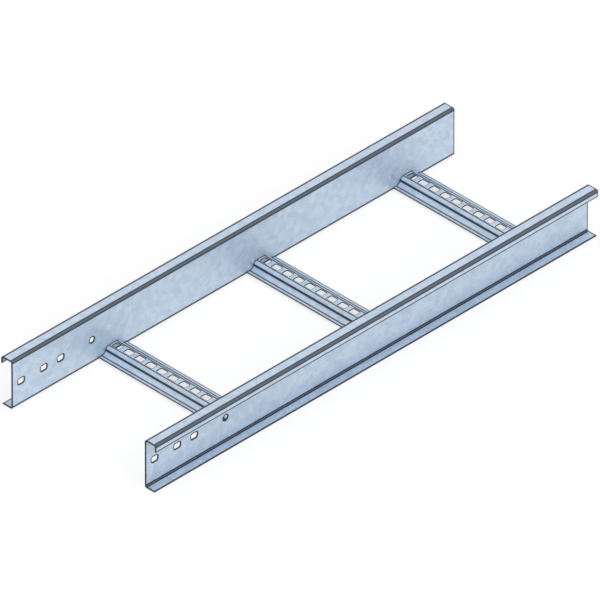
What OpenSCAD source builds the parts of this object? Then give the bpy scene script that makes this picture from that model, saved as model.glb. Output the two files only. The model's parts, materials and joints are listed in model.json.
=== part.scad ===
// Cable ladder section: two folded sheet-steel side rails joined by three slotted rungs.
// X runs along the ladder from the end with the joint holes to the plain end, Y runs across it and Z is up.
// The origin is on the ground below the middle of the ladder.

/* [Ladder] */
// Clear width between the two rails
inside_w = 270; // [150:10:600]
// Distance from the middle of one rung to the middle of the next
rung_pitch = 300; // [200:10:400]
// Distance from the middle of the last rung to the plain end
end_gap = 97.5; // [60:0.5:150]

/* [Side rail] */
// Height of a rail
rail_h = 83; // [60:1:150]
// Width of the top flange, from the web's inside face to the lip's outside face
top_flange_w = 22; // [15:0.5:40]
// Depth of the lip that turns down from the top flange
lip_h = 12; // [7:0.5:20]
// Width of the bottom flange, from the web's inside face to the free edge
bottom_flange_w = 19.5; // [10:0.5:40]
// Thickness of the rail sheet
rail_sheet = 1.5; // [1:0.25:2.5]
// Inside radius of the rail bends
rail_bend = 1.5; // [0.5:0.25:2.5]

/* [Joint holes] */
// Length of an oblong bolt hole along the rail
oblong_hole_l = 12; // [8:0.5:16]
// Height of an oblong bolt hole
oblong_hole_h = 9; // [7:0.5:14]
// Corner radius of an oblong bolt hole
oblong_hole_corner = 2.75; // [0.5:0.25:3]
// Diameter of the round bolt hole
round_hole = 9; // [5:0.5:14]
// Distance from the end of the rail to the first oblong hole
first_hole = 18.5; // [12:0.5:30]
// Distance from the first oblong hole to the second
second_hole_step = 45.5; // [20:0.5:60]
// Distance from the second oblong hole to the third
third_hole_step = 34; // [20:0.5:60]
// Distance from the third oblong hole to the round hole
round_hole_step = 63; // [20:0.5:80]

/* [Rung] */
// Width of a rung over its two flanges
rung_w = 57.5; // [52:0.5:80]
// Height of a rung
rung_h = 12.5; // [11.5:0.25:20]
// Width of the flat top of a rung
rung_top_w = 16.5; // [14:0.5:22]
// Slope of the walls of a rung, in degrees
wall_slope = 70; // [50:1:75]
// Radius of the hollow curve between a flange and its wall
foot_radius = 8.2; // [2:0.1:9]
// Radius of the round shoulder between a wall and the top
shoulder_radius = 6.4; // [3:0.1:7.5]
// Thickness of the rung sheet
rung_sheet = 1.25; // [0.75:0.25:1.75]
// Height of a rung's underside above the bend at the foot of the web
rung_lift = 0.4; // [0:0.1:20]

/* [Rung slots] */
// Distance from the middle of one slot to the middle of the next
slot_pitch = 22.5; // [18:0.5:45]
// Size of a slot along the rung
slot_length = 13.5; // [6:0.5:16]
// Size of a slot across the rung
slot_width = 11; // [5:0.5:13]
// Corner radius of a slot
slot_corner = 2; // [0.5:0.25:2.5]

/* [Hidden] */
$fn = 64;
cut_past = 1;
bend_facet = 7;
zinc_blue = [0.72, 0.79, 0.87];

rung_count = 3;
ladder_l = rung_count * rung_pitch;
first_rung_x = ladder_l / 2 - end_gap - (rung_count - 1) * rung_pitch;

rail_corner = rail_sheet + rail_bend;
rail_legs = [
    bottom_flange_w - rail_corner,
    rail_h - 2 * rail_corner,
    top_flange_w - 2 * rail_corner,
    lip_h - rail_corner
];
rail_turns = [-90, -90, -90];
rail_bends = [rail_bend, rail_bend, rail_bend];

hole_z = rail_h / 2;
second_hole = first_hole + second_hole_step;
third_hole = second_hole + third_hole_step;
last_hole = third_hole + round_hole_step;

rung_z = rail_corner + rung_lift;
wall_rise = rung_h - rung_sheet - (foot_radius + shoulder_radius) * (1 - cos(wall_slope));
wall_l = wall_rise / sin(wall_slope);
side_run = (foot_radius + shoulder_radius) * sin(wall_slope) + wall_l * cos(wall_slope);
rung_flange_l = (rung_w - rung_top_w) / 2 - side_run;
shoulder_bend = shoulder_radius - rung_sheet;
rung_legs = [rung_flange_l, wall_l, rung_top_w, wall_l, rung_flange_l];
rung_turns = [wall_slope, -wall_slope, -wall_slope, wall_slope];
rung_bends = [foot_radius, shoulder_bend, shoulder_bend, foot_radius];

slot_count = floor(inside_w / slot_pitch);

function ahead(heading) = [cos(heading), sin(heading)];
function left_of(heading) = [-sin(heading), cos(heading)];
function reversed(list) = [for (i = [len(list) - 1:-1:0]) list[i]];

// The points along one face of a folded sheet, from its first leg on. The right face passes through the start
// (depth 0) and the left face lies one sheet to its left (depth 1). Each bend is an arc about its own centre,
// to the left of the sheet where the turn is above zero and to its right where it is below zero.
function face_points(legs, turns, bends, sheet, depth, start = [0, 0], heading = 0, step = 0) =
    let (corner = start + legs[step] * ahead(heading))
    step == len(turns)
        ? [corner + depth * sheet * left_of(heading)]
        : let (
            turn = turns[step],
            to_centre = turn > 0 ? sheet + bends[step] : -bends[step],
            centre = corner + to_centre * left_of(heading),
            radius = to_centre - depth * sheet,
            facets = ceil(abs(turn) / bend_facet),
            arc = [for (i = [0:facets]) centre - radius * left_of(heading + turn * i / facets)],
            next = centre - to_centre * left_of(heading + turn)
        )
        concat(arc, face_points(legs, turns, bends, sheet, depth, next, heading + turn, step + 1));

// The section of a folded sheet that starts at the origin along X, with its thickness above it
module folded_section(legs, turns, bends, sheet) {
    right_face = face_points(legs, turns, bends, sheet, 0);
    left_face = face_points(legs, turns, bends, sheet, 1);
    polygon(concat([[0, 0]], right_face, reversed(left_face), [[0, sheet]]));
}

// A rectangle with round corners, centred on the origin
module rounded_rectangle(size, corner) {
    square([size[0] - 2 * corner, size[1]], center = true);
    square([size[0], size[1] - 2 * corner], center = true);
    for (x = [-1, 1], y = [-1, 1])
        translate([x * (size[0] / 2 - corner), y * (size[1] / 2 - corner)]) circle(r = corner);
}

// A cut through the web of the left rail, at a distance from the jointed end
module through_web(distance) {
    translate([distance - ladder_l / 2, inside_w / 2 - cut_past, hole_z])
        rotate([-90, 0, 0])
            linear_extrude(height = rail_sheet + 2 * cut_past) children();
}

// The left rail: the sheet runs from the bottom flange's free edge up the web and over the top to the lip
module side_rail() {
    difference() {
        translate([-ladder_l / 2, 0, 0])
            rotate([90, 0, 90])
                linear_extrude(height = ladder_l)
                    translate([inside_w / 2 + bottom_flange_w, rail_sheet])
                        rotate(180) folded_section(rail_legs, rail_turns, rail_bends, rail_sheet);
        for (distance = [first_hole, second_hole, third_hole])
            through_web(distance) rounded_rectangle([oblong_hole_l, oblong_hole_h], oblong_hole_corner);
        through_web(last_hole) circle(d = round_hole);
    }
}

module side_rail_left() {
    color(zinc_blue) side_rail();
}

module side_rail_right() {
    color(zinc_blue) mirror([0, 1, 0]) side_rail();
}

// A rung: a hat section with round shoulders that reaches from web to web, with a row of slots along its top
module rung(number) {
    color(zinc_blue)
        translate([first_rung_x + (number - 1) * rung_pitch, 0, rung_z])
            difference() {
                rotate([90, 0, 0])
                    linear_extrude(height = inside_w, center = true)
                        translate([-rung_w / 2, 0])
                            folded_section(rung_legs, rung_turns, rung_bends, rung_sheet);
                for (slot = [0:slot_count - 1])
                    translate([0, (slot - (slot_count - 1) / 2) * slot_pitch, rung_h - rung_sheet - cut_past])
                        linear_extrude(height = rung_sheet + 2 * cut_past)
                            rounded_rectangle([slot_width, slot_length], slot_corner);
            }
}

side_rail_left();
side_rail_right();
rung(1);  // rung_1
rung(2);  // rung_2
rung(3);  // rung_3
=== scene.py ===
# %% [markdown]
# # A cable ladder section in galvanised steel
#
# A cable ladder carries cables along a ceiling or a wall. This short section has two side rails and three
# rungs. All five are made from zinc-coated sheet: a flat strip is punched first and folded afterwards.
# The measured solids are loaded first, because the pieces' places and outer sizes are taken from them.

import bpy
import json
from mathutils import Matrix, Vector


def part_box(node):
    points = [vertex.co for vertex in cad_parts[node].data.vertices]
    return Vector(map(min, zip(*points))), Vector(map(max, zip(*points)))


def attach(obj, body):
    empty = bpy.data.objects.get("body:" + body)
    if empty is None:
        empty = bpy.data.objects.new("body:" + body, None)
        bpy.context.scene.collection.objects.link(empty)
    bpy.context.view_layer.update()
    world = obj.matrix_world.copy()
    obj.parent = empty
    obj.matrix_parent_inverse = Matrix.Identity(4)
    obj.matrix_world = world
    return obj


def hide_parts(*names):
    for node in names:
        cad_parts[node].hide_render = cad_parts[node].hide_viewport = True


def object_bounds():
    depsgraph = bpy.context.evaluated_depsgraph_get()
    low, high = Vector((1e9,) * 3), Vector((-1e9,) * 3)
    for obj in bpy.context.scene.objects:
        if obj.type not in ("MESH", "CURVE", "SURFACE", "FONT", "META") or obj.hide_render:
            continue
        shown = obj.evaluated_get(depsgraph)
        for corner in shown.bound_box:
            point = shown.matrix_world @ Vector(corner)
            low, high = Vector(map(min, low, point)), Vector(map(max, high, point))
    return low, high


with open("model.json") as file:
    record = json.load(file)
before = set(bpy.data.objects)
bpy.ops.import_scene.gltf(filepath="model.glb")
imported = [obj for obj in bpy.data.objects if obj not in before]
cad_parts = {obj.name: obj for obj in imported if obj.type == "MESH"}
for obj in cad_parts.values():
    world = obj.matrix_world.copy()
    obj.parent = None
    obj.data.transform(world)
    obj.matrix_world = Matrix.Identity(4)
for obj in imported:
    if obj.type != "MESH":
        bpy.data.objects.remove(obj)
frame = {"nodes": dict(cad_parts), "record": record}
cad_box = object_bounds()
print("parts:", sorted(frame["nodes"]))
print("size in metres:", [round(high - low, 4) for low, high in zip(*cad_box)])

# %% [markdown]
# ## The camera
#
# The picture is an isometric drawing: the view runs down a cube's diagonal, and lines that are parallel
# on the ladder stay parallel on the page. An orthographic camera does exactly that, but its frame stays the
# same size when the ladder is looked at from the side, where it is longer. A very long lens from far away
# gives the same picture to within a pixel or so, and steps back as any camera does, so it is used here.
#
# Its distance follows from similar triangles: frame width / distance = sensor width / focal length.

# %% Place the camera
import json
import math
from collections import namedtuple
from functools import partial

import bpy
import numpy as np
from mathutils import Vector

MM = 0.001
PICTURE_SIDE = 600
METRES_PER_PIXEL = 1.4383 * MM
LADDER_MIDDLE_PIXEL = (300.9, 296.1)
LENS = 1650.0
SENSOR = 36.0
AZIMUTH = math.radians(-45)
ELEVATION = math.atan(1 / math.sqrt(2))


def make_camera():
    """A camera whose back points to (sin a cos e, -cos a cos e, sin e), with azimuth a and elevation e.

    It is aimed beside the ladder's middle, as far as the middle's pixel is from the picture's own middle.
    """
    camera = bpy.data.objects.new("camera", bpy.data.cameras.new("camera"))
    bpy.context.scene.collection.objects.link(camera)
    camera.data.lens = LENS
    camera.data.sensor_width = SENSOR
    back = Vector((
        math.sin(AZIMUTH) * math.cos(ELEVATION),
        -math.cos(AZIMUTH) * math.cos(ELEVATION),
        math.sin(ELEVATION),
    ))
    turn = (-back).to_track_quat("-Z", "Y")
    right, up = turn @ Vector((1, 0, 0)), turn @ Vector((0, 1, 0))
    right_of_middle = (PICTURE_SIDE / 2 - LADDER_MIDDLE_PIXEL[0]) * METRES_PER_PIXEL
    above_middle = (LADDER_MIDDLE_PIXEL[1] - PICTURE_SIDE / 2) * METRES_PER_PIXEL
    aim = (cad_box[0] + cad_box[1]) / 2 + right * right_of_middle + up * above_middle
    distance = PICTURE_SIDE * METRES_PER_PIXEL * LENS / SENSOR
    camera.rotation_mode = "QUATERNION"
    camera.rotation_quaternion = turn
    camera.location = aim + back * distance
    camera.data.clip_end = distance * 2
    bpy.context.scene.camera = camera
    return distance


print("camera distance in metres:", round(make_camera(), 2))

# %% [markdown]
# ## A fold
#
# A folded strip is straight legs joined by round bends. Its section is worked out as a walk along the
# sheet: each stretch of the walk is one row of numbers, and any point of the flat strip is placed by finding
# its row. The Bevel and Solidify modifiers could round and thicken a bent plane, but they don't know how
# long the sheet is before it is folded. The walk does, so the zinc pattern can be laid on the flat sheet,
# as in the mill.

# %% Walk along the section
START, PLACE, HEADING, TURNING, REACH, SLIDE = 0, slice(1, 3), 3, 4, 5, 6


def ahead(heading):
    """Unit vector (cos, sin) along a heading, for one heading or a whole array of them."""
    return np.stack((np.cos(heading), np.sin(heading)), axis=-1)


def left_of(heading):
    """Unit vector a quarter turn to the left of a heading."""
    return np.stack((-np.sin(heading), np.cos(heading)), axis=-1)


def fold_plan(start, heading, legs, turns, bends, sheet):
    """One row for each leg and each bend: its start along the strip, x, y, heading, turning, reach, slide.

    A leg starts at (x, y) and slides along its heading. A bend turns about (x, y), which lies `reach` to the
    left of the sheet's right face, or to its right where reach is below zero. Distances are measured along
    the middle of the sheet, where a bend is angle x (inside radius + half the sheet) long.
    """
    rows, point, distance = [], np.array(start, float), 0.0
    for leg, turn, bend in zip(legs, [*turns, 0.0], [*bends, 0.0]):
        rows.append((distance, *point, heading, 0.0, 0.0, 1.0))
        point = point + leg * ahead(heading)
        distance += leg
        if turn:
            reach = sheet + bend if turn > 0 else -bend
            centre = point + reach * left_of(heading)
            length = abs(turn) * (bend + sheet / 2)
            rows.append((distance, *centre, heading, turn / length, reach, 0.0))
            heading += turn
            point = centre - reach * left_of(heading)
            distance += length
    return np.array(rows), distance


def row_at(plan, distance):
    """The plan's row at each distance."""
    row = np.searchsorted(plan[:, START], distance, side="right") - 1
    return plan[np.clip(row, 0, len(plan) - 1)]


def fold(plan, distance, depth):
    """Section points: (x, y) + slide x along x ahead - (reach - depth) x left, each in its own row.

    The heading there is the row's own + turning x along, and depth is measured from the sheet's right face.
    """
    row = row_at(plan, distance)
    along = distance - row[:, START]
    heading = row[:, HEADING] + row[:, TURNING] * along
    forward = (row[:, SLIDE] * along)[:, None] * ahead(heading)
    return row[:, PLACE] + forward - (row[:, REACH] - depth)[:, None] * left_of(heading)


strip_mm = fold_plan((0.0, 0.0), 0.0, [10.0, 10.0], [math.pi / 2], [1.5], 1.5)[1]
print("two 10 mm legs with a square bend of inside radius 1.5 mm take", round(strip_mm, 2), "mm of sheet")

# %% [markdown]
# ## A punched flat strip
#
# The strip is a grid of rectangles with a block of cells left out for each hole. Rings of faces run from
# the block's square rim in to the hole's outline, so straight edges stay straight and round ones round. A
# boolean cut would be quicker to write, but it leaves long thin faces that shade badly, and it can't round
# a punched edge. Beside every edge and bend there is a narrow margin of cells. It will carry the dark marks:
# rubbed zinc beside each edge, and painted shade along each bend.

# %% Lay out the grid
# A hole's room reaches from its middle to the rim of its block, and its cells are those along each side.
Hole = namedtuple("Hole", "u v half_u half_v corner room_u room_v cells")
BEND_CELLS = 8
NUDGE = 1e-6


def grid_lines(stops):
    """Grid lines at stops (position, cells since the stop before), evenly spaced in between."""
    steps = [np.linspace(a, b, cells + 1)[1:] for (a, _), (b, cells) in zip(stops, stops[1:])]
    return np.concatenate([[stops[0][0]], *steps])


def cells_in(span, cell):
    """How many cells of about this size fill a span. The nudge keeps a rounding error from adding one."""
    return max(1, math.ceil(span / cell - NUDGE))


def lines_along(low, high, holes, cell, margin):
    """Grid lines along the strip: a margin at both ends, each hole's own cells, even cells in between."""
    stops = [(low, 0), (low + margin, 1)]
    for hole in holes:
        stops.append((hole.u - hole.room_u, cells_in(hole.u - hole.room_u - stops[-1][0], cell)))
        stops.append((hole.u + hole.room_u, hole.cells))
    stops.append((high - margin, cells_in(high - margin - stops[-1][0], cell)))
    stops.append((high, 1))
    return grid_lines(stops)


def lines_across(plan, width, hole, cell, margin):
    """Grid lines across the strip: bends in equal steps, a margin at both ends of a leg, the holes' cells.

    A leg with no room for two margins is one cell.
    """
    stops = [(0.0, 0)]
    for first, last, turning in zip(plan[:, START], [*plan[1:, START], width], plan[:, TURNING]):
        if turning or last - first < 2 * margin:
            stops.append((last, BEND_CELLS if turning else 1))
            continue
        stops.append((first + margin, 1))
        if first < hole.v < last:
            stops.append((hole.v - hole.room_v, cells_in(hole.v - hole.room_v - stops[-1][0], cell)))
            stops.append((hole.v + hole.room_v, hole.cells))
        stops.append((last - margin, cells_in(last - margin - stops[-1][0], cell)))
        stops.append((last, 1))
    return grid_lines(stops)


plain_lines = lines_along(0.0, 100 * MM, [], 30 * MM, 2 * MM)
print("grid lines in mm along a plain strip of 100 mm:", (plain_lines / MM).round(1))

# %% Outline a hole
FLAT_SHARE = 0.5


def side_steps(cells, half, reach, corner, flat_share):
    """One side of a rounded rectangle: positions along it, and how far from the middle it lies there.

    The middle `flat_share` of the steps runs along the flat. The rest turns 45 degrees round each corner,
    where a turn t gives corner x sin t along the side and corner x (1 - cos t) back from it.
    """
    s = np.linspace(-1, 1, cells + 1)[:-1]
    flat = np.clip(s / max(flat_share, NUDGE), -1, 1) * (half - corner)
    turn = np.clip((abs(s) - flat_share) / (1 - flat_share), 0, 1) * math.pi / 4
    return flat + np.sign(s) * corner * np.sin(turn), reach - corner * (1 - np.cos(turn))


def hole_outline(hole, grow):
    """Closed loop round a hole, grown outward by `grow`, along its sides in the order -v, +u, +v, -u."""
    half_u, half_v, corner = hole.half_u + grow, hole.half_v + grow, hole.corner + grow
    flat_share = FLAT_SHARE if hole.corner < hole.half_u else 0.0
    along_u, away_v = side_steps(hole.cells, half_u, half_v, corner, flat_share)
    along_v, away_u = side_steps(hole.cells, half_v, half_u, corner, flat_share)
    sides = (along_u, -away_v), (away_u, along_v), (-along_u, away_v), (-away_u, -along_v)
    return np.concatenate([np.stack(side, axis=1) for side in sides]) + (hole.u, hole.v)


def block_rim(index, first_u, last_u, first_v, last_v):
    """Grid vertices round a block of cells, in the order of a hole's outline."""
    return np.concatenate((
        index[first_u:last_u, first_v],
        index[last_u, first_v:last_v],
        index[last_u:first_u:-1, last_v],
        index[first_u, last_v:first_v:-1],
    ))


def band(inner, outer):
    """Quads between two closed loops of equally many vertices, face up where the loops run anticlockwise."""
    return np.stack((outer, np.roll(outer, -1), np.roll(inner, -1), inner), axis=1)


example_hole = Hole(0.0, 0.0, 6 * MM, 4.5 * MM, 2.75 * MM, 8.5 * MM, 8.5 * MM, 12)
example_outline = hole_outline(example_hole, 0.0) / MM
print("an oblong hole has", len(example_outline), "points and is", np.ptp(example_outline, axis=0), "mm")

# %% Punch the holes
RUBBED_SHARE = 0.9


def border_moved_in(border, inset):
    """The strip's border, with each coordinate kept between its own ends, less the inset."""
    return np.clip(border, border.min(axis=0) + inset, border.max(axis=0) - inset)


def hole_rings(hole, rim):
    """Loops from a block's rim in to the hole's outline.

    They are (rim + rubbed) / 2, the rubbed loop and the outline. The rubbed loop is the outline grown by
    RUBBED_SHARE of the room beside the hole, so it keeps one distance all the way round.
    """
    room = min(hole.room_u - hole.half_u, hole.room_v - hole.half_v)
    rubbed = hole_outline(hole, RUBBED_SHARE * room)
    return (rim + rubbed) / 2, rubbed, hole_outline(hole, 0.0)


def punched_layer(u_lines, v_lines, holes):
    """One face of the flat strip: its points (u, v), its quads, and its outlines.

    An outline is its vertices in order, a function that moves it into the sheet by an inset, and 1 for the
    border or -1 for a hole.
    """
    index = np.arange(len(u_lines) * len(v_lines)).reshape(len(u_lines), len(v_lines))
    grid = np.stack(np.meshgrid(u_lines, v_lines, indexing="ij"), axis=-1).reshape(-1, 2)
    border = block_rim(index, 0, len(u_lines) - 1, 0, len(v_lines) - 1)
    outlines = [(border, partial(border_moved_in, grid[border]), 1)]
    layer, quads, whole = [grid], [], np.ones((len(u_lines) - 1, len(v_lines) - 1), bool)
    count = len(grid)
    for hole in holes:
        i = np.searchsorted(u_lines, (hole.u - hole.room_u - NUDGE, hole.u + hole.room_u - NUDGE))
        j = np.searchsorted(v_lines, (hole.v - hole.room_v - NUDGE, hole.v + hole.room_v - NUDGE))
        whole[i[0]:i[1], j[0]:j[1]] = False
        outer = block_rim(index, *i, *j)
        for ring in hole_rings(hole, grid[outer]):
            inner = count + np.arange(len(ring))
            count += len(ring)
            layer.append(ring)
            quads.append(band(inner, outer))
            outer = inner
        outlines.append((outer, partial(hole_outline, hole), -1))
    corners = index[:-1, :-1], index[1:, :-1], index[1:, 1:], index[:-1, 1:]
    quads.append(np.stack(corners, axis=-1)[whole])
    return np.concatenate(layer), np.concatenate(quads), outlines


room = example_hole.room_u
plate_lines = grid_lines([(-20 * MM, 0), (-room, 3), (room, example_hole.cells), (20 * MM, 3)])
plate_points, plate_quads, _ = punched_layer(plate_lines, plate_lines, [example_hole])
print("a plate with one hole has", len(plate_points), "points and", len(plate_quads), "quads on each face")

# %% [markdown]
# ## From the flat strip to a solid sheet
#
# A punch drags the skin of the sheet down with it, so a sheared edge isn't knife-sharp: it rolls over by
# about a tenth of a millimetre. That roll catches the light along every edge and hole, and makes the sheet
# look like metal instead of paper. The strip's two faces are joined by loops of vertices that follow it.

# %% Give the sheet its thickness
ROLL = 0.12 * MM
ROLL_STEPS = 3


def edge_walk(sheet):
    """The way round a sheared edge, from the lower face to the upper, as pairs (inset, depth).

    Each roll is a quarter circle: inset = roll x (1 - sin t), depth = roll x (1 - cos t).
    """
    t = np.linspace(0, math.pi / 2, ROLL_STEPS + 1)
    inset, depth = ROLL * (1 - np.sin(t)), ROLL * (1 - np.cos(t))
    return [*zip(inset, depth), *zip(inset[::-1], sheet - depth[::-1])]


def thick_strip(layer, quads, outlines, sheet):
    """Both faces of the flat strip and the walls between them: points (u, v), depths, two marks, and quads.

    The lower face is the layer turned over, and the upper face is the layer as it is. A wall is a stack of
    loops that follow the edge walk. A point is sheared by 1 - inset / ROLL. It is rubbed where it is on an
    outline or a wall and not on the next line or ring, because the punch rubs the zinc beside its cut.
    """
    on_edge = np.zeros(len(layer), bool)
    for outline, moved_in, _ in outlines:
        layer[outline] = moved_in(ROLL)
        on_edge[outline] = True
    points, depths, sheared, rubbed = [layer, layer], [0.0, sheet], [0.0, 0.0], [on_edge, on_edge]
    faces, count = [quads[:, ::-1], quads + len(layer)], 2 * len(layer)
    for outline, moved_in, outward in outlines:
        before = outline
        for inset, depth in edge_walk(sheet)[1:-1]:
            now = count + np.arange(len(outline))
            count += len(outline)
            points.append(moved_in(inset))
            depths.append(depth)
            sheared.append(1 - inset / ROLL)
            rubbed.append(np.full(len(outline), True))
            faces.append(band(now, before)[:, ::outward])
            before = now
        faces.append(band(outline + len(layer), before)[:, ::outward])
    sizes = [len(loop) for loop in points]
    marks = {"sheared": np.repeat(sheared, sizes), "rubbed": np.concatenate(rubbed)}
    return np.concatenate(points), np.repeat(depths, sizes), marks, np.concatenate(faces)


print("inset and depth round an edge in mm:")
print((np.array(edge_walk(1.5 * MM)) / MM).round(3))

# %% [markdown]
# ## From arrays to a mesh
#
# The arrays go into the mesh in one call each. What the finish needs travels with them: the flat strip's
# own coordinates as a UV map in metres, how far each point is sheared, whether it is rubbed, how far its
# bend stretches it, and whether a bend begins or ends there. Each strip is cut from another stretch of the
# coil, so no two pieces show the same crystals.

# %% Write the mesh
SMOOTH_UP_TO = math.radians(35)


def bend_marks(plan, distance, sheet):
    """Two marks: stretched = |turning| x sheet / 2, and creased = 1 where a bend begins or ends.

    The first is the share by which a bend's outer face is longer than its middle.
    """
    before, after = row_at(plan, distance - NUDGE), row_at(plan, distance + NUDGE)
    turning = np.maximum(abs(before[:, TURNING]), abs(after[:, TURNING]))
    return {"stretched": turning * sheet / 2, "creased": abs(before[:, SLIDE] - after[:, SLIDE])}


def folded_sheet(name, node, u_lines, v_lines, holes, plan, sheet, stand_up, coil_at):
    """A punched strip, folded by its plan. stand_up(u, section points) gives the points in space.

    Its map starts coil_at metres along the coil. The grid's points inside the holes belong to no face, and
    are left out.
    """
    flat, depth, marks, faces = thick_strip(*punched_layer(u_lines, v_lines, holes), sheet)
    solid = stand_up(flat[:, 0], fold(plan, flat[:, 1], depth))
    marks.update(bend_marks(plan, flat[:, 1], sheet))
    used, faces = np.unique(faces, return_inverse=True)
    faces = faces.reshape(-1, 4)

    mesh = bpy.data.meshes.new(name)
    mesh.vertices.add(len(used))
    mesh.vertices.foreach_set("co", solid[used].ravel())
    mesh.loops.add(faces.size)
    mesh.loops.foreach_set("vertex_index", faces.ravel())
    mesh.polygons.add(len(faces))
    mesh.polygons.foreach_set("loop_start", np.arange(0, faces.size, 4))
    mesh.update(calc_edges=True)
    uv = mesh.uv_layers.new(name="sheet")
    uv.data.foreach_set("uv", (flat[used][faces.ravel()] + (coil_at, 0.0)).ravel())
    for mark, value in marks.items():
        attribute = mesh.attributes.new(mark, "FLOAT", "POINT")
        attribute.data.foreach_set("value", value[used].astype(np.float32))
    mesh.shade_smooth()
    mesh.set_sharp_from_angle(angle=SMOOTH_UP_TO)
    mended = mesh.validate()
    piece = bpy.data.objects.new(name, mesh)
    bpy.context.scene.collection.objects.link(piece)
    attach(piece, "root")
    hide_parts(node)
    print(name, len(mesh.vertices), "vertices,", 2 * len(faces), "triangles, mended:", mended)
    return piece


# %% [markdown]
# ## The side rails
#
# A rail is a channel: bottom flange, web, top flange and a short lip that turns down and stiffens the edge.
# At one end the web has three oblong holes and a round one, where a joint plate bolts on the next section.
# The right rail is the left one's mirror image. Mirroring would turn its faces inside out, so its strip is
# laid out from the far end instead, which mirrors it once more.

# %% Sizes of a rail
RAIL_SHEET = 1.5 * MM
RAIL_BEND = 1.5 * MM
LIP = 12 * MM
BOTTOM_FLANGE = 19.5 * MM
OBLONG_HALF_LENGTH = 6 * MM
OBLONG_HALF_HEIGHT = 4.5 * MM
OBLONG_CORNER = 2.75 * MM
HOLE_ROOM = 8.5 * MM
ROUND_HOLE_ROOM = 7 * MM
HOLE_CELLS = 12
RAIL_CELL = 9 * MM
RAIL_MARGIN = 2.2 * MM
WEB_ROW = 2

rail_low, rail_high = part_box("side_rail_left")
top_flange = rail_high.y - rail_low.y
openings = {row["name"]: np.mean(row["box_m"], axis=0) for row in frame["record"]["physics"]["openings"]}
mounts = {row["name"]: row for row in frame["record"]["mounts"]}
oblong_places = [openings[f"oblong_hole_{number}_left"] for number in (1, 2, 3)]
round_place = mounts["round_joint_hole_left"]["pos_m"]
round_radius = mounts["round_joint_hole_left"]["dims"]["r_mm"] * MM
print("holes at x =", [round(float(spot[0]), 4) for spot in (*oblong_places, round_place)])


# %% Fold the two rails
def make_rail(name, side, coil_at):
    """A rail on the side +1 or -1: x = side x u, y = side x section x, z = section y.

    Its holes are sorted, because the grid is laid from one end of the strip to the other.
    """
    corner = RAIL_SHEET + RAIL_BEND
    legs = [BOTTOM_FLANGE - corner, rail_high.z - 2 * corner, top_flange - 2 * corner, LIP - corner]
    foot = (rail_low.y + BOTTOM_FLANGE, RAIL_SHEET)
    plan, width = fold_plan(foot, math.pi, legs, [-math.pi / 2] * 3, [RAIL_BEND] * 3, RAIL_SHEET)
    web_start = plan[WEB_ROW, START]
    oblong = (OBLONG_HALF_LENGTH, OBLONG_HALF_HEIGHT, OBLONG_CORNER, HOLE_ROOM)
    shapes = [(spot, oblong) for spot in oblong_places]
    shapes.append((round_place, (round_radius, round_radius, round_radius, ROUND_HOLE_ROOM)))
    holes = sorted(
        Hole(side * spot[0], web_start + spot[2] - corner, *shape, HOLE_ROOM, HOLE_CELLS)
        for spot, shape in shapes
    )
    u_lines = lines_along(rail_low.x, rail_high.x, holes, RAIL_CELL, RAIL_MARGIN)
    v_lines = lines_across(plan, width, holes[0], RAIL_CELL, RAIL_MARGIN)

    def stand_up(u, section):
        return np.stack((side * u, side * section[:, 0], section[:, 1]), axis=1)

    piece = f"{name}_sheet"
    return folded_sheet(piece, name, u_lines, v_lines, holes, plan, RAIL_SHEET, stand_up, coil_at)


rails = [
    make_rail("side_rail_left", side=1, coil_at=1.0),
    make_rail("side_rail_right", side=-1, coil_at=3.0),
]

# %% [markdown]
# ## The rungs
#
# A rung is a low hat: two flanges, walls that rise in an S from a hollow foot to a round shoulder, and a
# flat top. The top is punched with a row of slots for cable ties and cleats. The ends stand flat against
# the webs.

# %% Sizes of a rung
RUNG_SHEET = 1.25 * MM
RUNG_TOP = 16.5 * MM
WALL_SLOPE = math.radians(70)
FOOT_RADIUS = 8.2 * MM
SHOULDER_RADIUS = 6.4 * MM
SLOT_HALF_LENGTH = 6.75 * MM
SLOT_HALF_WIDTH = 5.5 * MM
SLOT_CORNER = 2 * MM
SLOT_ROOM_ALONG = 8.6 * MM
SLOT_ROOM_ACROSS = 6.6 * MM
SLOT_CELLS = 8
RUNG_CELL = 5 * MM
RUNG_MARGIN = 1.6 * MM

slot_pitch = (openings["rung_1_slot_5"][1] - openings["rung_1_slot_2"][1]) / 3
print("slot pitch in metres:", round(float(slot_pitch), 5))


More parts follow.
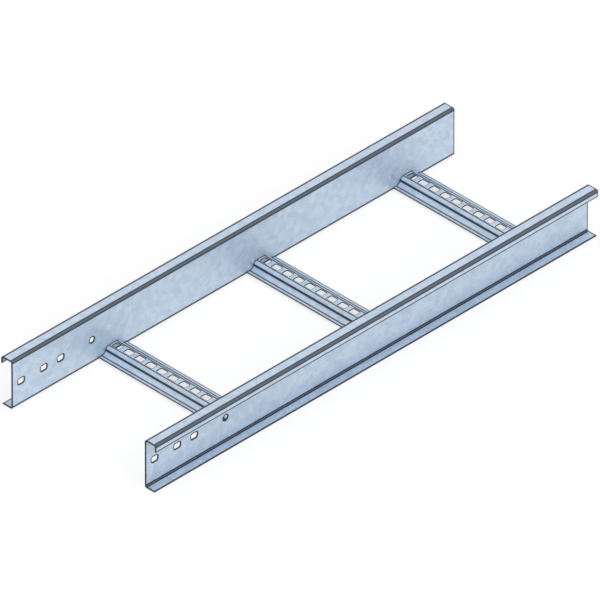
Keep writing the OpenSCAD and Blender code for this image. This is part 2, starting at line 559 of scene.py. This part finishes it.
# %% Fold the three rungs
def make_rung(number, coil_at):
    """A rung: x = section x, y = -u, z = section y, so that the faces of the strip still point outward."""
    low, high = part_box(f"rung_{number}")
    rise = high.z - low.z - RUNG_SHEET - (FOOT_RADIUS + SHOULDER_RADIUS) * (1 - math.cos(WALL_SLOPE))
    wall = rise / math.sin(WALL_SLOPE)
    run = (FOOT_RADIUS + SHOULDER_RADIUS) * math.sin(WALL_SLOPE) + wall * math.cos(WALL_SLOPE)
    flange = (high.x - low.x - RUNG_TOP) / 2 - run
    legs = [flange, wall, RUNG_TOP, wall, flange]
    turns = [WALL_SLOPE, -WALL_SLOPE, -WALL_SLOPE, WALL_SLOPE]
    inside = SHOULDER_RADIUS - RUNG_SHEET
    bends = [FOOT_RADIUS, inside, inside, FOOT_RADIUS]
    plan, width = fold_plan((low.x, low.z), 0.0, legs, turns, bends, RUNG_SHEET)
    count = int((high.y - low.y) / slot_pitch + NUDGE)
    slot = (SLOT_HALF_LENGTH, SLOT_HALF_WIDTH, SLOT_CORNER, SLOT_ROOM_ALONG, SLOT_ROOM_ACROSS, SLOT_CELLS)
    holes = [Hole((n - (count - 1) / 2) * slot_pitch, width / 2, *slot) for n in range(count)]
    u_lines = lines_along(low.y, high.y, holes, RUNG_CELL, RUNG_MARGIN)
    v_lines = lines_across(plan, width, holes[0], RUNG_CELL, RUNG_MARGIN)

    def stand_up(u, section):
        return np.stack((section[:, 0], -u, section[:, 1]), axis=1)

    node = f"rung_{number}"
    piece = f"{node}_sheet"
    return folded_sheet(piece, node, u_lines, v_lines, holes, plan, RUNG_SHEET, stand_up, coil_at)


rungs = [make_rung(number, coil_at=5.0 + number) for number in (1, 2, 3)]

# %% [markdown]
# ## Galvanised steel
#
# Hot-dipped zinc freezes into flat crystals, the spangle. Each crystal mirrors the room at a slightly
# different tilt, so it is a little lighter or darker than its neighbours. A chalky film of oxide takes the
# edge off its shine, so it counts as half metal, half chalk.
#
# Dark marks follow the bends and the cuts. A sharp bend stretches the zinc until it is dull, and along it
# the colour is darkened as painted shade, the more the sharper the bend. A line of painted shade also runs
# where each bend begins and ends, and on a rung's short walls two of these lines meet. The punch and the
# shear rub the zinc beside their cuts, and the cut itself is bare steel. All these marks are kept bold, so
# that they still set one face off from the next when the whole ladder is in view.
#
# The pattern is laid on the flat strip's own map, because the coil is coated before it is cut.


# %% A short way to write shader maths
class Wire:
    """One output of a node. Arithmetic on it adds Math nodes, so a formula reads as plain Python.

    A Wire with no output knows only its tree, and is where a recipe starts.
    """

    def __init__(self, tree, output=None):
        self.tree = tree
        self.output = output

    def node(self, kind, settings, values, output=0):
        """Adds a node: first its settings, then a number, a vector or a Wire on each of its inputs."""
        node = self.tree.nodes.new(kind)
        for key, value in settings.items():
            setattr(node, key, value)
        for key, value in values.items():
            if isinstance(value, Wire):
                self.tree.links.new(value.output, node.inputs[key])
            else:
                node.inputs[key].default_value = value
        return Wire(self.tree, node.outputs[output])

    def beside(self, output):
        """Another output of the same node."""
        return Wire(self.tree, self.output.node.outputs[output])

    def maths(self, operation, first, second):
        return self.node("ShaderNodeMath", {"operation": operation}, {0: first, 1: second})

    def __add__(self, other):
        return self.maths("ADD", self, other)

    def __sub__(self, other):
        return self.maths("SUBTRACT", self, other)

    def __rsub__(self, other):
        return self.maths("SUBTRACT", other, self)

    def __mul__(self, other):
        return self.maths("MULTIPLY", self, other)

    __radd__ = __add__
    __rmul__ = __mul__

    def clamped(self):
        """The value, kept between 0 and 1."""
        return self.node("ShaderNodeClamp", {}, {"Value": self})


def vectors(operation, first, second):
    """Vector maths between a Wire and a vector or another Wire."""
    return first.node("ShaderNodeVectorMath", {"operation": operation}, {0: first, 1: second})


def noise(spot, waves, detail, output=0):
    """Soft noise with `waves` (along u, along v) to the metre, and finer waves for each step of detail."""
    scaled = vectors("MULTIPLY", spot, (*waves, 0.0))
    values = {"Vector": scaled, "Scale": 1.0, "Detail": detail}
    return spot.node("ShaderNodeTexNoise", {"noise_dimensions": "2D"}, values, output)


def mix_colours(share, first, second):
    """first x (1 - share) + second x share."""
    return share.node("ShaderNodeMix", {"data_type": "RGBA"}, {0: share, 6: first, 7: second}, 2)


def painted(flat, mark):
    """A mark that the mesh carries from point to point."""
    return flat.node("ShaderNodeAttribute", {"attribute_name": mark}, {}, "Fac")


# %% The zinc's crystals
SPANGLES_PER_METRE = 125.0
RAGGED_BY = 2.4 * MM
RAGGED_WAVES = (420.0, 420.0)
FERN_WAVES = (300.0, 2200.0)

Crystals = namedtuple("Crystals", "tone gloss tilted fern")


def zinc_crystals(flat):
    """Crystals on the flat strip's map: each one's own tone and gloss, its tilted height, and its ferns.

    Their borders are ragged: noise, less its middle, moves the map by up to RAGGED_BY before the Voronoi
    cells are laid on it. Ferns are noise drawn out one way, turned with each crystal by its own angle.
    """
    wander = vectors("SUBTRACT", noise(flat, RAGGED_WAVES, detail=3.0, output="Color"), (0.5, 0.5, 0.5))
    ragged = vectors("ADD", flat, vectors("MULTIPLY", wander, (RAGGED_BY, RAGGED_BY, 0.0)))
    values = {"Vector": ragged, "Scale": SPANGLES_PER_METRE}
    crystal = flat.node("ShaderNodeTexVoronoi", {"voronoi_dimensions": "2D"}, values, "Color")
    centre = crystal.beside("Position")
    tone = crystal.node("ShaderNodeSeparateColor", {}, {0: crystal}, 0)
    gloss, angle = tone.beside(1), tone.beside(2)
    values = {"Vector": vectors("SUBTRACT", flat, centre), "Angle": angle * (2 * math.pi)}
    turned = angle.node("ShaderNodeVectorRotate", {"rotation_type": "Z_AXIS"}, values)
    tilted = turned.node("ShaderNodeSeparateXYZ", {}, {0: turned}, 0)
    fern = noise(vectors("ADD", turned, centre), FERN_WAVES, detail=3.0)
    return Crystals(tone, gloss, tilted, fern)


print("an average crystal is", round(1000 / SPANGLES_PER_METRE, 1), "mm across")

# %% The steel
ZINC_DARK = (0.392, 0.489, 0.606, 1.0)
ZINC_LIGHT = (0.595, 0.703, 0.830, 1.0)
# Near-black zinc, used both for the worn zinc beside the cuts and for the painted shade along the bends.
RUBBED_ZINC_AND_BEND_SHADE = (0.035, 0.046, 0.062, 1.0)
SHEARED_STEEL = (0.030, 0.034, 0.042, 1.0)
ZINC_METALLIC = 0.5
STREAK_WAVES = (6.0, 700.0)
CLOUD_WAVES = (9.0, 9.0)
GRAIN_WAVES = (4000.0, 4000.0)
TONE_OF = {"crystal": 0.42, "fern": 0.55, "cloud": 0.20, "streak": 0.20}
# Weights of the dark marks: stretched and creased paint shade along the bends, and rubbed darkens the worn
# zinc beside the cuts.
WEAR_AND_BEND_SHADE_BY = {"stretched": 8.0, "creased": 2.6, "rubbed": 4.5}
ROUGHNESS = 0.42
ROUGH_BY = {"gloss": 0.14, "fern": 0.08, "stretched": 0.25, "sheared": 0.10}
SPANGLE_TILT = 0.02
HEIGHT_OF = {"fern": 0.004 * MM, "grain": 0.002 * MM, "streak": 0.003 * MM}


def galvanised_steel():
    """Zinc crystals with their own tone, gloss and tilt, rubbed zinc beside the cuts, painted shade along
    the bends, and dark sheared edges.

    lightness = 0.5 + the weighted departures of crystal, fern, cloud and rolling streak from their middle.
    The darkening = the weighted marks, kept between 0 and 1: stretched squared and creased are painted shade
    along the bends, and rubbed is worn zinc beside the cuts.
    roughness = ROUGHNESS + the weighted departures of gloss and fern + the weighted stretched and sheared.
    height = tilt x distance across the crystal + the weighted fern, grain and streak.
    """
    material = bpy.data.materials.new("galvanised_steel")
    material.use_nodes = True
    tree = material.node_tree
    shader = tree.nodes["Principled BSDF"]
    shader.inputs["Metallic"].default_value = ZINC_METALLIC

    flat = Wire(tree).node("ShaderNodeUVMap", {"uv_map": "sheet"}, {})
    crystal = zinc_crystals(flat)
    streak = noise(flat, STREAK_WAVES, detail=4.0)
    cloud = noise(flat, CLOUD_WAVES, detail=2.0)
    grain = noise(flat, GRAIN_WAVES, detail=2.0)
    sheared, rubbed = painted(flat, "sheared"), painted(flat, "rubbed")
    creased, stretched = painted(flat, "creased"), painted(flat, "stretched")

    lightness = 0.5 + TONE_OF["crystal"] * (crystal.tone - 0.5) + TONE_OF["fern"] * (crystal.fern - 0.5)
    lightness = lightness + TONE_OF["cloud"] * (cloud - 0.5) + TONE_OF["streak"] * (streak - 0.5)
    # Painted shade along the bends, from how sharp each bend is and from where it begins and ends, plus the
    # rubbed zinc beside the cuts.
    wear_and_bend_shade = WEAR_AND_BEND_SHADE_BY["stretched"] * stretched * stretched
    wear_and_bend_shade = wear_and_bend_shade + WEAR_AND_BEND_SHADE_BY["creased"] * creased + WEAR_AND_BEND_SHADE_BY["rubbed"] * rubbed
    zinc = mix_colours(lightness.clamped(), ZINC_DARK, ZINC_LIGHT)
    zinc_with_wear_and_bend_shade = mix_colours(wear_and_bend_shade.clamped(), zinc, RUBBED_ZINC_AND_BEND_SHADE)
    tree.links.new(mix_colours(sheared, zinc_with_wear_and_bend_shade, SHEARED_STEEL).output, shader.inputs["Base Color"])

    rough = ROUGHNESS + ROUGH_BY["gloss"] * (crystal.gloss - 0.5) + ROUGH_BY["fern"] * (crystal.fern - 0.5)
    rough = rough + ROUGH_BY["stretched"] * stretched + ROUGH_BY["sheared"] * sheared
    tree.links.new(rough.clamped().output, shader.inputs["Roughness"])

    height = SPANGLE_TILT * crystal.tilted + HEIGHT_OF["fern"] * crystal.fern
    height = height + HEIGHT_OF["grain"] * grain + HEIGHT_OF["streak"] * streak
    bump = height.node("ShaderNodeBump", {}, {"Height": height, "Strength": 1.0, "Distance": 1.0})
    tree.links.new(bump.output, shader.inputs["Normal"])
    return material


steel = galvanised_steel()
for piece in (*rails, *rungs):
    piece.data.materials.append(steel)
print("nodes in the steel:", len(steel.node_tree.nodes))

# %% [markdown]
# ## The studio
#
# The drawing stands on white paper and has no light of its own. An even white sky over a white floor comes
# closest, and a very wide sun from the left front adds a faint shadow. Together they light the floor just to
# white, so that a colour renders about as it is written. Most of the paper's white is a glow that only the
# eye sees, so that the slots read light against the steel, as in the drawing, and the floor meets the sky
# without an edge.

# %% Floor
FLOOR_SIDE = 160.0
FLOOR_BELOW = 0.2 * MM
PAPER_GLOW = 0.7
WHITE = (1.0, 1.0, 1.0, 1.0)


def seen_by_the_eye(tree):
    """1 for rays that come from the camera, or by way of a mirror or glass, and 0 for light on its way."""
    camera = Wire(tree).node("ShaderNodeLightPath", {}, {}, "Is Camera Ray")
    return (camera + camera.beside("Is Glossy Ray") + camera.beside("Is Transmission Ray")).clamped()


def make_floor():
    """A square sheet of white paper: part plain white surface, part white glow that only the eye sees."""
    half = FLOOR_SIDE / 2
    mesh = bpy.data.meshes.new("floor")
    corners = [(x, y, -FLOOR_BELOW) for x, y in ((-half, -half), (half, -half), (half, half), (-half, half))]
    mesh.from_pydata(corners, [], [(0, 1, 2, 3)])
    floor = bpy.data.objects.new("floor", mesh)
    bpy.context.scene.collection.objects.link(floor)
    material = bpy.data.materials.new("white_paper")
    material.use_nodes = True
    tree = material.node_tree
    shader = tree.nodes["Principled BSDF"]
    shader.inputs["Base Color"].default_value = WHITE
    shader.inputs["Roughness"].default_value = 1.0
    shader.inputs["Specular IOR Level"].default_value = 0.0
    eye = seen_by_the_eye(tree)
    glow = eye.node("ShaderNodeEmission", {}, {"Color": WHITE, "Strength": 1.0})
    surface = Wire(tree, shader.outputs[0])
    paper = eye.node("ShaderNodeMixShader", {}, {0: PAPER_GLOW * eye, 1: surface, 2: glow})
    tree.links.new(paper.output, tree.nodes["Material Output"].inputs["Surface"])
    mesh.materials.append(material)


make_floor()
print("floor:", FLOOR_SIDE, "m square,", FLOOR_BELOW / MM, "mm below the ladder")

# %% Sky and sun
SKY = 0.62
SUN = 1.82
SUN_WIDTH = math.radians(110)
SUN_FROM = (-0.35, -0.75, 1.0)


def make_sky():
    """An even sky: white where it is seen, and of strength SKY where it lights."""
    world = bpy.data.worlds.new("sky")
    bpy.context.scene.world = world
    world.use_nodes = True
    tree = world.node_tree
    background = tree.nodes["Background"]
    background.inputs["Color"].default_value = WHITE
    level = SKY + (1.0 - SKY) * seen_by_the_eye(tree)
    tree.links.new(level.output, background.inputs["Strength"])


def make_sun():
    """A sun so wide that its shadow is soft. It lights the floor by about SUN x cos(its slant) / pi."""
    sun = bpy.data.objects.new("sun", bpy.data.lights.new("sun", "SUN"))
    bpy.context.scene.collection.objects.link(sun)
    sun.data.energy = SUN
    sun.data.angle = SUN_WIDTH
    sun.rotation_mode = "QUATERNION"
    sun.rotation_quaternion = Vector(SUN_FROM).to_track_quat("Z", "Y")


make_sky()
make_sun()
bpy.context.scene.view_settings.view_transform = "Standard"
cosine = SUN_FROM[2] / Vector(SUN_FROM).length
print("light on the floor, of white:", round(SKY + SUN * cosine / math.pi, 3))
